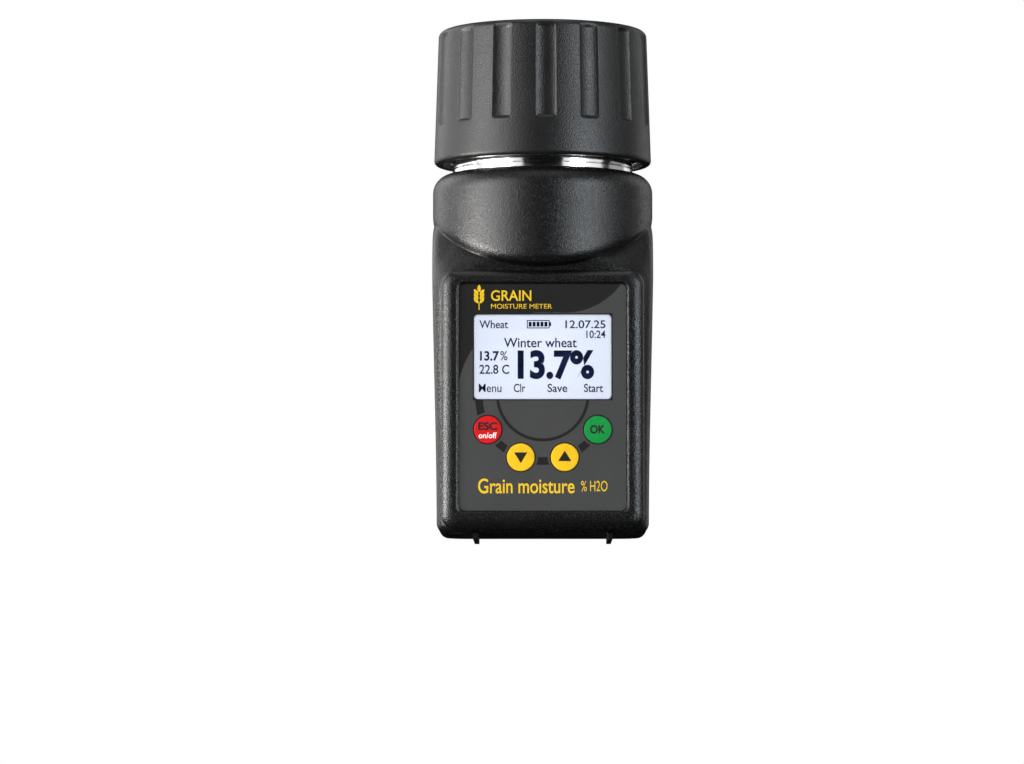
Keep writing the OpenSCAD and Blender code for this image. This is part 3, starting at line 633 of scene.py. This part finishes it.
def housing():
    # The barrel's lower edge: lowest in front, and rising to the sides on an arc
    lip_drop, lip_arc = 31.9, 52
    lip = shoulder - lip_drop + lip_arc - np.sqrt(
        lip_arc ** 2 - (barrel_r * np.sin(np.minimum(aside, pi / 2))) ** 2)
    behind = ease((aside - math.radians(75)) / math.radians(30))
    to_side = ease((aside - math.radians(55)) / math.radians(25))
    loops = []
    # The bottom opening's edge, and the rounded bottom edge
    opening = reach(31, 25, 31, 5)
    ledge = reach(29.5, 23.5, 29.5, 4)
    loops.append(level(opening, foot + 0.4))
    loops.append(level(opening + 0.12, foot + 0.12))
    loops.append(level(opening + 0.4, foot))
    fillet = 3.3
    for a in np.linspace(0, pi / 2, 9):
        loops.append(level(lower(foot, fillet * (1 - math.sin(a))), foot + fillet * (1 - math.cos(a))))
    # The lower case, whose corners are rounded off towards the barrel
    roll = 3.0
    tall = roll + 2.5 * ease(aside / math.radians(50))
    turn_at = lip + 1.9
    under = turn_at - tall - 1.0
    valley = turn_at - 0.94 * tall
    dent = barrel_r - 2 + 3.2 * to_side
    rows = 110
    stack = np.array([lower(v) for v in np.linspace(foot, case_top, rows)])

    def case_at(z):
        """The lower case at heights that differ round it, with its corners cut back to the barrel."""
        at = np.clip((z - foot) / (case_top - foot), 0, 1) * (rows - 1)
        i = np.minimum(at.astype(int), rows - 2)
        pick = np.arange(N_ROUND)
        plain = stack[i, pick] + (stack[i + 1, pick] - stack[i, pick]) * (at - i)
        below = np.sin(np.clip((valley - z) / 18, 0, 1) * pi / 2)
        limit = dent + 10.5 * below - 0.9 * np.maximum(z - valley, 0)
        blend = 2.5
        near = np.maximum(blend - np.abs(plain - limit), 0) / blend
        return np.minimum(plain, limit) - near ** 2 * blend / 4

    def joined(barrel, z):
        """The outer of barrel and case, with a soft hollow between them in front."""
        case = case_at(z)
        blend = 1.5 * (1 - to_side) + 1e-6
        near = np.maximum(blend - np.abs(barrel - case), 0) / blend
        both = np.maximum(barrel, case) + near ** 2 * blend / 4
        plain = case + (barrel_r - case) * ease((z - 96) / 15)
        return np.minimum(both + (plain - both) * behind, barrel_r / np.maximum(np.abs(ux), np.abs(uy)))

    no_barrel, barrel_start = 20, 29
    for t in np.linspace(0, 1, 34)[1:]:
        z = foot + fillet + (under - foot - fillet) * (1 - (1 - t) ** 1.6)
        loops.append(level(case_at(z) if t < 0.6 else joined(no_barrel, z), z))
    for t in np.linspace(0, 1, 9)[1:-1]:
        loops.append(level(joined(barrel_start + (barrel_r - roll - barrel_start) * t, under + t), under + t))
    for a in np.linspace(pi / 2, 0, 13):
        z = turn_at - tall * math.sin(a)
        loops.append(level(joined(barrel_r - roll * (1 - math.cos(a)), z), z))
    # The barrel and its shoulder
    top_r = 6.5
    for t in (0.12, 0.25, 0.5, 0.75):
        z = turn_at + (shoulder - top_r - turn_at) * t
        loops.append(level(joined(barrel_r, z), z))
    for a in np.linspace(0, pi / 2, 16):
        loops.append(level(barrel_r - top_r + top_r * math.cos(a), shoulder - top_r + top_r * math.sin(a)))
    neck = high("chamber_collar")[0] - 2.9
    roof = shoulder - 3.9
    loops += [level(neck, shoulder - 0.1), level(neck, roof)]
    # The space inside: round, then following the case, then straight down to the ledge at the opening
    inner_r = barrel_r - 3
    wall = 2.4
    loops += [level(inner_r, roof), level(inner_r, case_top)]
    for z in np.linspace(108, 88, 11):
        loops.append(level(np.clip(case_at(np.full(N_ROUND, z)) - wall, 30.2, inner_r), z))
    inside = lower(60, 2.6)
    loops += [level(inside, 86.5), level(inside, foot + 4.6), level(ledge, foot + 4.6)]
    loops += [level(ledge, foot + 2.4), level(opening, foot + 2.4)]
    body = make("housing_body", *skin_data(np.array(loops)))
    # The window behind the frame and the two hinge notches
    cross = [(29.5, 32.5), (21, 32.5), (21, 39), (-21, 39), (-21, 32.5), (-29.5, 32.5),
             (-29.5, -32.5), (-21, -32.5), (-21, -39), (21, -39), (21, -32.5), (29.5, -32.5)]
    opened = np.array([[(x, -y, frame_z + z) for x, z in cross] for y in (20.0, 40.0)])
    cuts = [skin_data(opened, closed=False)]
    for s in (-1, 1):
        x = s * 22.6
        notch = [(x - 1.3, -32.0), (x + 1.3, -32.0), (x + 1.3, -22.9), (x - 1.3, -22.9)]
        block = np.array([[(a, b, z) for a, b in notch] for z in (foot - 1, foot + 5)])
        cuts.append(skin_data(block, closed=False))
    cutter = make("cutter", *merge(cuts))
    cut = body.modifiers.new("cut", "BOOLEAN")
    cut.operation, cut.solver, cut.object = "DIFFERENCE", "EXACT", cutter
    points, faces = taken(body)
    bpy.data.objects.remove(cutter)
    return make("housing_shell", points, faces, angle=32)


piece(housing(), mats["case_plastic"], "case", "case_plastic", "housing")


# ---------- Cap ----------

cap_low, cap_high = low("cap_shell"), high("cap_shell")
cap_r = cap_high[0]
cap_bottom, cap_top = cap_low[2], cap_high[2]


def cap():
    """The fluted shell: a closed section turned round the axis, with the flutes pressed into its side."""
    # The side leans in by the taper over the cap's height
    taper = 1.65
    # The underside of the top, and the level of the inner walls' ends
    ceiling, inner_end = cap_top - 3, 156.5
    top_r = cap_r - taper * (cap_top - 2.4 - cap_bottom) / (cap_top - cap_bottom)
    corners = [(34.05, cap_bottom, 0.35), (cap_r - 0.05, cap_bottom, 2.4), (top_r - 0.05, cap_top, 2.2),
               (25.6, cap_top, 0.5), (25.0, cap_top - 0.8, 0.3), (6.5, cap_top - 0.8, 0.4),
               (6.5, ceiling, 0.2), (18, ceiling, 0.6), (18, 160, 0.3), (21, 160.3, 0), (21, inner_end, 0),
               (23.5, inner_end, 0), (23.5, ceiling, 0.6), (32.6, ceiling, 0.8), (32.6, inner_end, 0),
               (33.5, 156.4, 0), (33.5, 149, 0), (34.05, 149, 0)]
    path = round_corners(corners, 7)
    dense = []
    for a, b in zip(path, np.roll(path, -1, 0)):
        dense.append(a)
        # The outer side needs rows enough for the flutes' ends
        if a[0] > 34.5 and b[0] > 34.5 and b[1] - a[1] > 2:
            dense += [a + (b - a) * t for t in np.linspace(0, 1, 110)[1:-1]]
    flutes, width, depth, at_r = 15, 6.9, 0.95, 36.2
    first = math.radians(1.9) - pi / 2
    flute_low, flute_high = cap_top - 33.4, cap_top - 0.7

    def grip(angle, r, z):
        step = 2 * pi / flutes
        off = ((angle - first + step / 2) % step - step / 2) * at_r / (width / 2)
        across = np.clip(1 - off ** 2, 0, 1)
        across = across ** 0.8 * ease(across * 9)
        ends = ease((z - flute_low + 0.1) / 0.9) * ease((flute_high - z) / 2.2)
        on = (r > 33.9) & (z > cap_bottom + 5)
        return r - np.where(on, depth * across * ends, 0), z

    return make("cap_body", *skin_data(lathe(dense, flutes * 72, grip)), angle=38)


piece(cap(), mats["cap_plastic"], "cap", "cap_plastic", "cap_shell")


def thread(root, crest, z0, turns, half, flank):
    """A shape function: ridges from z0 up, round the part of the profile whose radius is the root's."""
    starts, lead = 2, 9.0

    def bend(angle, r, z):
        lift = np.zeros_like(z)
        for s in range(starts):
            for k in range(-1, int(turns) + 2):
                turn = (angle - s * 2 * pi / starts) / (2 * pi) + k
                centre = z0 + lead * turn
                fade = ease(turn / 0.1) * ease((turns - turn) / 0.1)
                lift = np.maximum(lift, fade * np.clip((half + flank - np.abs(z - centre)) / flank, 0, 1))
        on = np.abs(r - root) < 0.01
        return r + np.where(on, (crest - root) * ease(lift), 0), z
    return bend


def collar():
    inner, outer = 28.6, 30.7
    top, bottom = high("chamber_collar")[2], low("chamber_collar")[2]
    corners = [(inner, bottom, 0.2), (outer, bottom, 0.3), (outer, 117.3, 0), (33.8, 117.3, 0.2),
               (33.8, 120.3, 0.2), (outer, 120.3, 0), (outer, 127.0, 0.12), (outer - 0.6, 127.1, 0.1),
               (outer - 0.6, 127.5, 0.1), (outer, 127.6, 0.12)]
    upper = [(outer, z) for z in np.linspace(128.2, top - 0.6, 150)]
    tip = round_corners([(outer, top - 0.6), (outer, top, 0.45), (inner, top, 0.45), (inner, bottom + 1)], 5)
    path = list(round_corners(corners, 4)) + upper + list(tip)
    shape = thread(outer, 32.0, 131, 2, 0.6, 0.75)
    return make("collar_body", *skin_data(lathe(path, 288, shape)), angle=30)


piece(collar(), mats["polished_steel"], "case", "polished_steel", "chamber_collar", "collar_thread")


def thread_ring():
    bottom, top = low("cap_thread_ring")[2], high("cap_thread_ring")[2]
    path = [(34.0, top - 0.3), (34.0, bottom + 0.3)] + list(round_corners(
        [(34.0, bottom + 0.6), (34.0, bottom, 0.3), (32.4, bottom, 0.3), (32.4, bottom + 0.7)], 4))[1:-1]
    path += [(32.4, z) for z in np.linspace(bottom + 0.7, top - 0.4, 110)] + [(32.5, top), (33.8, top)]
    shape = thread(32.4, 31.1, 133.25, 1.25, 0.5, 0.6)
    return make("thread_insert", *skin_data(lathe(path, 240, shape)), angle=30)


piece(thread_ring(), mats["polished_steel"], "cap", "polished_steel", "cap_thread_ring", "cap_thread")


# ---------- Plunger ----------

def coil(radius_low, radius_high, z_low, z_high, turns, wire, closed=0.16):
    """A compression spring whose ends, a share closed of its length each, lie nearly flat."""
    t = np.linspace(0, 1, int(turns * 36))
    middle = 0.09 + (t - closed) / (1 - 2 * closed) * 0.82
    share = np.where(t > 1 - closed, 1 - (1 - t) / closed * 0.09, middle)
    share = np.where(t < closed, t / closed * 0.09, share)
    a = 2 * pi * turns * t
    r = radius_low + (radius_high - radius_low) * t
    return tube_data(np.stack([r * np.cos(a), r * np.sin(a), z_low + (z_high - z_low) * share], -1), wire, 16)


spring_low, spring_high = low("pressure_spring"), high("pressure_spring")
wire = 0.65
spring = make("packing_spring", *coil(9, 9, spring_low[2] + wire, spring_high[2] - wire, 5, wire), angle=60)
piece(spring, mats["electrode_steel"], "plunger", "electrode_steel", "pressure_spring")
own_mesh(spring)


def button():
    bottom, top = low("indicator_button")[2], high("indicator_button")[2]
    corners = [(0.01, bottom), (6.2, bottom, 0.2), (6.2, top, 0.5), (4.9, top, 0.3), (4.6, top - 0.5, 0.3),
               (0.01, top - 0.35)]
    return make("level_button", *skin_data(lathe(round_corners(corners, 5), 96), closed=False), angle=40)


piece(button(), mats["button_red"], "plunger", "button_red", "indicator_button")


# ---------- Front panel ----------

def front_frame():
    """The raised frame: a section of (share of the way inwards, distance in front), and the floor in it."""
    outer = (frame_high[0] - frame_low[0], frame_high[2] - frame_low[2], 5.0, 0, frame_z)
    inner = (label_w + 0.4, label_h + 0.4, 2.1, 0, label_z)
    rim = -frame_low[1]
    bulge_w, bulge_h = 0.7, 3.4
    section = [(0, 30.92), (0, 31.0)]
    section += [(bulge_w * (1 - math.cos(a)), rim - bulge_h * (1 - math.sin(a)))
                for a in np.linspace(0.05, pi / 2, 16)]
    section += [(0.84, rim), (0.9, rim - 0.04), (0.94, rim - 0.18), (0.955, rim - 0.42), (0.965, rim - 0.7),
                (1.0, rim - 0.8), (1.0, 33.0), (1.0, 30.92)]
    a = rect_loop(*outer, corner=14, side=14)
    b = rect_loop(*inner, corner=14, side=14)
    loops = [[(x, -y, z) for x, z in a + (b - a) * t] for t, y in section]
    border = skin_data(np.array(loops))
    holes = [rect_loop(window_w + 0.2, window_h + 0.2, 1.3, 0, window_z)]
    holes += [circle_loop(*k, 5.9) for k in keys.values()]
    floor = plate_data([rect_loop(label_w + 0.8, label_h + 0.8, 2.2, 0, label_z)] + holes, 32.9, 33.3)
    return make("panel_frame", *merge([border, floor]), angle=30)


piece(front_frame(), mats["case_plastic"], "case", "case_plastic", "front_frame")

label_loops = [rect_loop(label_w, label_h, 2.0, 0, label_z)]
label_loops += [rect_loop(window_w + 0.2, window_h + 0.2, 1.3, 0, window_z, 12)]
label_loops += [circle_loop(*k, 4.75, 72) for k in keys.values()]
label = make("label_overlay", *plate_data(label_loops, 33.31, label_face, 0.08), angle=30)
piece(label, mats["label_film"], "case", "label_film", "keypad_label")

window = make("display_cover", *plate_data([rect_loop(window_w, window_h, 1.25, 0, window_z, 12)],
                                           -window_high[1], -window_low[1], 0.12), angle=30)
piece(window, mats["window_plastic"], "case", "window_plastic", "display_window")


def key_shape(name, made):
    """A key with a softly crowned face, turned about the axis through its middle."""
    x, z = keys[name]
    corners = [(0.01, 30.5), (1.9, 30.5, 0.15), (1.9, 32.5, 0), (5.5, 32.5, 0.15), (5.5, 33.1, 0.15),
               (4.6, 33.1, 0), (4.6, key_face - 0.06, 0.22), (3.2, key_face - 0.01), (0.01, key_face)]
    turned = lathe(round_corners(corners, 5), 96)
    loops = np.stack([x + turned[..., 0], -turned[..., 2], z + turned[..., 1]], -1)
    return make(made, *skin_data(loops, closed=False), angle=40)


for key, made, slot in (("key_escape", "escape_key", "key_red"), ("key_down", "down_key", "key_yellow"),
                        ("key_up", "up_key", "key_yellow"), ("key_ok", "ok_key", "key_green")):
    piece(key_shape(key, made), mats[slot], key, slot, key)


def legend(name, parts, material, body, slot):
    """Print on a piece, as one thin mesh."""
    piece(make(name, *merge(parts)), material, body, slot)


def box_loop(x0, x1, z0, z1):
    return [(x0, z0), (x1, z0), (x1, z1), (x0, z1)]


ex, ez = keys["key_escape"]
legend("escape_legend", [words_data("ESC", ex - 3.2, ex + 3.2, ez - 0.2, ez + 2.5, key_face, bold=0.035)],
       ink_black, "key_escape", "key_red")
legend("escape_power_legend",
       [words_data("on/off", ex - 3.0, ex + 3.0, ez - 2.9, ez - 1.0, key_face, bold=0.005)],
       ink_white, "key_escape", "key_red")
ox, oz = keys["key_ok"]
legend("ok_legend", [words_data("OK", ox - 2.6, ox + 2.4, oz - 1.4, oz + 1.5, key_face, bold=0.03)],
       ink_black, "key_ok", "key_green")
dx, dz = keys["key_down"]
legend("down_arrow", [sheet_data([(dx - 2.2, dz + 1.6), (dx, dz - 2.0), (dx + 2.2, dz + 1.6)], key_face)],
       ink_black, "key_down", "key_yellow")
px, pz = keys["key_up"]
legend("up_arrow", [sheet_data([(px - 2.2, pz - 1.3), (px + 2.2, pz - 1.3), (px, pz + 2.2)], key_face)],
       ink_black, "key_up", "key_yellow")


def leaf(x, z, angle, length, width, face):
    """One kernel of the grain pictogram."""
    t = np.linspace(0, 1, 14)
    half = width / 2 * np.sin(pi * t) ** 0.8
    right, left = np.stack([half, t * length], -1), np.stack([-half[1:-1], t[1:-1] * length], -1)
    a, b = np.concatenate([right, left[::-1]]).T
    c, s = math.cos(angle), math.sin(angle)
    return sheet_data(np.stack([x + a * c - b * s, z + a * s + b * c], -1), face)


def label_print():
    face = label_face
    x, z = -21.3, label_z + 30.9
    parts = [leaf(x, z + 4.3, 0, 2.6, 1.2, face)]
    for k in range(3):
        for side in (-1, 1):
            parts.append(leaf(x + side * 0.25, z + 0.6 + 1.35 * k, -side * 0.62, 2.5, 1.15, face))
    parts.append(sheet_data(box_loop(x - 0.14, x + 0.14, z - 1.6, z + 0.9), face))
    parts.append(words_data("GRAIN", x + 4.0, x + 17.5, z + 1.4, z + 5.0, face, bold=0.012))
    parts.append(words_data("MOISTURE METER", x + 4.0, x + 24.4, z - 1.2, z + 0.4, face))
    low_z = label_low[2] + 4.6
    parts.append(words_data("Grain moisture", -21.6, 10.6, low_z + 1.2, low_z + 6.2, face, bold=0.012))
    parts.append(words_data("% H2O", 12.8, 21.6, low_z + 1.9, low_z + 5.4, face))
    return parts


legend("label_printing", label_print(), ink_yellow, "case", "label_film")


def display_print():
    """A generic reading, drawn on the display glass."""
    face = -low("display_glass")[1]
    cz = window_z
    parts = []
    for text, x0, x1, z0, z1, bold in (
            ("12.07.25", 7.6, 21.0, 9.6, 12.3, 0.012), ("10:24", 14.6, 21.0, 6.3, 8.9, 0.012),
            ("Wheat", -21.2, -11.6, 9.6, 12.3, 0.012), ("Winter wheat", -13.0, 11.4, 3.2, 6.4, 0.01),
            ("13.7", -21.0, -14.6, -1.3, 2.0, 0.03), ("%", -14.2, -11.8, -1.1, 2.0, 0.008),
            ("22.8 C", -21.2, -11.2, -5.7, -2.6, 0.012),
            ("13.7%", -8.4, 17.2, -7.6, 2.3, 0.04),
            ("Menu", -21.4, -13.8, -11.8, -9.0, 0.006), ("Clr", -9.7, -5.8, -11.8, -9.0, 0.012),
            ("Save", 1.6, 8.2, -11.8, -9.0, 0.012), ("Start", 13.8, 20.2, -11.8, -9.0, 0.012)):
        parts.append(words_data(text, x0, x1, cz + z0, cz + z1, face, 0.02, bold))
    ix0, ix1, iz0, iz1 = -5.3, 2.3, cz + 9.6, cz + 12.4
    # The battery sign: four sides, the tip and five bars
    for a in (box_loop(ix0, ix1, iz0, iz0 + 0.3), box_loop(ix0, ix1, iz1 - 0.3, iz1),
              box_loop(ix0, ix0 + 0.3, iz0, iz1), box_loop(ix1 - 0.3, ix1, iz0, iz1),
              box_loop(ix1, ix1 + 0.5, iz0 + 0.7, iz1 - 0.7)):
        parts.append(sheet_data(a, face, 0.02))
    for k in range(5):
        x = ix0 + 0.6 + k * 1.32
        parts.append(sheet_data(box_loop(x, x + 1.0, iz0 + 0.6, iz1 - 0.6), face, 0.02))
    return parts


legend("display_reading", display_print(), ink_navy, "case", "display_face")


# ---------- Power ----------

def contact_springs():
    """The battery cover's two contact plates, each with two conical springs."""
    cover_low, cover_high = low("cover_contacts"), high("cover_contacts")
    z = cover_low[2]
    parts = []
    pitch = 15.2
    y = (cover_low[1] + cover_high[1]) / 2
    for s in (-1, 1):
        loop = rect_loop(24, 8, 1.0, s * pitch, y, 5, 2)
        plate = np.array([[(a, b, z + h) for a, b in loop] for h in (0, 0.06, 0.44, 0.5)])
        parts.append(skin_data(plate, closed=False))
        for d in (-1, 1):
            points, faces = coil(4.0, 2.0, z + 0.85, cover_high[2] - 0.35, 4, 0.32, closed=0.12)
            parts.append((points + np.array([s * pitch + d * pitch / 2, y, 0]), faces))
    return make("contact_springs", *merge(parts), angle=50)


piece(contact_springs(), mats["contact_nickel"], "battery_cover", "contact_nickel", "cover_contacts")


# ---------- Floor, light and camera ----------

def studio():
    # A disc, without the cap that would lie on top of it
    points, faces = skin_data(lathe([(3500, 0), (900, 0), (100, 0)], 96), closed=False)
    floor = make("floor", points, faces[:-2] + faces[-1:])
    # Below the meter, because the photo's camera is lower than the meter's foot
    floor.location = (0, 0, -0.125)
    s = Shade("floor_pale", Specular_IOR_Level=0.2)
    s.colour(s.mix(s.spread(s.noise(3, 4), 0.3, 0.7, 0, 1), grey(0.83), grey(0.86)))
    s.rough(s.spread(s.noise(12, 4), 0.3, 0.7, 0.75, 0.85))
    s.bump((s.noise(400, 3), 0.1, 0.05))
    floor.data.materials.append(s.material)
    # Kept out of reflections, or the black plastics turn grey
    floor.visible_glossy = False

    world = bpy.data.worlds.new("studio")
    scene.world = world
    world.use_nodes = True
    tree = world.node_tree
    soft = tree.nodes["Background"]
    soft.inputs["Color"].default_value = (1, 1, 1, 1)
    path = tree.nodes.new("ShaderNodeLightPath")
    # Diffuse surfaces see a bright room, glossy ones a dark room with softboxes
    room = tree.nodes.new("ShaderNodeMapRange")
    room.inputs["To Min"].default_value, room.inputs["To Max"].default_value = 0.005, 0.36
    tree.links.new(path.outputs["Is Diffuse Ray"], room.inputs["Value"])
    tree.links.new(room.outputs["Result"], soft.inputs["Strength"])
    bright = tree.nodes.new("ShaderNodeBackground")
    bright.inputs["Color"].default_value = (1, 1, 1, 1)
    bright.inputs["Strength"].default_value = 1.0
    mix = tree.nodes.new("ShaderNodeMixShader")
    tree.links.new(path.outputs["Is Camera Ray"], mix.inputs[0])
    tree.links.new(soft.outputs[0], mix.inputs[1])
    tree.links.new(bright.outputs[0], mix.inputs[2])
    tree.links.new(mix.outputs[0], tree.nodes["World Output"].inputs["Surface"])

    aim = Vector((0, 0, 0.09))
    for name, where, size, power, colour in (
            ("left_box", (-1.2, -0.68, 0.3), (0.95, 1.3), 18, (1, 1, 1)),
            ("left_sheet", (-1.56, -0.74, 0.28), (2.7, 1.7), 14, (1, 1, 1)),
            ("right_box", (1.15, -1.12, 0.3), (0.5, 1.2), 15, (0.86, 0.94, 1.0)),
            ("right_sheet", (1.38, -1.0, 0.28), (1.8, 1.7), 9, (1, 1, 1)),
            ("left_rim", (-0.9, 1.1, 0.3), (0.6, 1.2), 3, (1, 1, 1)),
            ("right_rim", (0.9, 1.1, 0.3), (0.6, 1.2), 1.6, (1, 1, 1)),
            ("left_side", (-1.15, 0.6, 0.75), (1.2, 1.2), 7, (1, 1, 1)),
            ("right_side", (1.15, 0.6, 0.75), (1.2, 1.2), 1.6, (1, 1, 1)),
            ("left_low", (-0.42, -0.1, 0.0), (0.2, 0.18), 2.2, (1, 0.97, 0.94)),
            ("front_fill", (0, -1.1, 2.1), (1.6, 0.6), 3, (1, 1, 1)),
            ("top_box", (0, 0.1, 1.6), (1.2, 1.2), 6, (1, 1, 1))):
        data = bpy.data.lights.new(name, "AREA")
        data.shape, data.energy, data.color = "RECTANGLE", power, colour
        data.size, data.size_y = size
        lamp = bpy.data.objects.new(name, data)
        scene.collection.objects.link(lamp)
        lamp.location = where
        lamp.visible_camera = False
        lamp.rotation_euler = (aim - Vector(where)).to_track_quat("-Z", "Y").to_euler()


studio()
# The camera's distance is a rough estimate from the curves of the cap's rim in the photo.
# Its height, tilt and turn follow from that distance
camera_data = bpy.data.cameras.new("camera")
camera_data.lens, camera_data.sensor_width = 175.565, 36
camera_data.clip_end = 20
camera = bpy.data.objects.new("camera", camera_data)
scene.collection.objects.link(camera)
camera.location = (0, -1.7, -0.06012)
camera.rotation_euler = (pi / 2 + math.radians(3.8614), 0, math.radians(0.35335))
scene.camera = camera
scene.view_settings.view_transform = "Standard"
